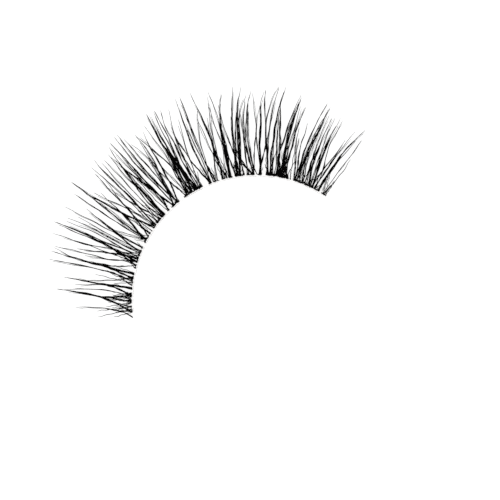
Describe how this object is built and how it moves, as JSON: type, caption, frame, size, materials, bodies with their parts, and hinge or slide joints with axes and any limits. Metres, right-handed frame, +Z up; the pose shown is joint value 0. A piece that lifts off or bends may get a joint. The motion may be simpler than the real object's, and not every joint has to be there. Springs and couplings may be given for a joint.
{
  "type": "false eyelash strip",
  "caption": "Curved strip of black false eyelashes: groups of fine tapered lashes of mixed lengths that curl up from a thin clear band.",
  "frame": {"origin": "middle of the band's underside, halfway along its curve, on the face that takes the adhesive", "axes": "+X runs from the inner corner of the eye to the outer corner, +Y points the way the middle lashes point, +Z is up, away from the surface the strip lies on"},
  "size_m": [0.0393, 0.019, 0.0046],
  "materials": {
    "clear_band": "thin clear cured adhesive with a faint warm tint and a soft gloss",
    "lash_fibre": "near-black synthetic fibre with a slight brown cast and a satin sheen"
  },
  "bodies": {
    "root": {"band": "clear_band", "tuft_01": "lash_fibre", "tuft_02": "lash_fibre", "tuft_03": "lash_fibre", "tuft_04": "lash_fibre", "tuft_05": "lash_fibre", "tuft_06": "lash_fibre", "tuft_07": "lash_fibre", "tuft_08": "lash_fibre", "tuft_09": "lash_fibre", "tuft_10": "lash_fibre", "tuft_11": "lash_fibre", "tuft_12": "lash_fibre", "tuft_13": "lash_fibre", "tuft_14": "lash_fibre", "tuft_15": "lash_fibre", "tuft_16": "lash_fibre", "tuft_17": "lash_fibre", "tuft_18": "lash_fibre", "tuft_19": "lash_fibre", "tuft_20": "lash_fibre", "tuft_21": "lash_fibre", "tuft_22": "lash_fibre", "tuft_23": "lash_fibre", "tuft_24": "lash_fibre", "tuft_25": "lash_fibre", "tuft_26": "lash_fibre", "tuft_27": "lash_fibre", "tuft_28": "lash_fibre", "tuft_29": "lash_fibre", "tuft_30": "lash_fibre", "tuft_31": "lash_fibre", "tuft_32": "lash_fibre"}
  },
  "joints": []
}
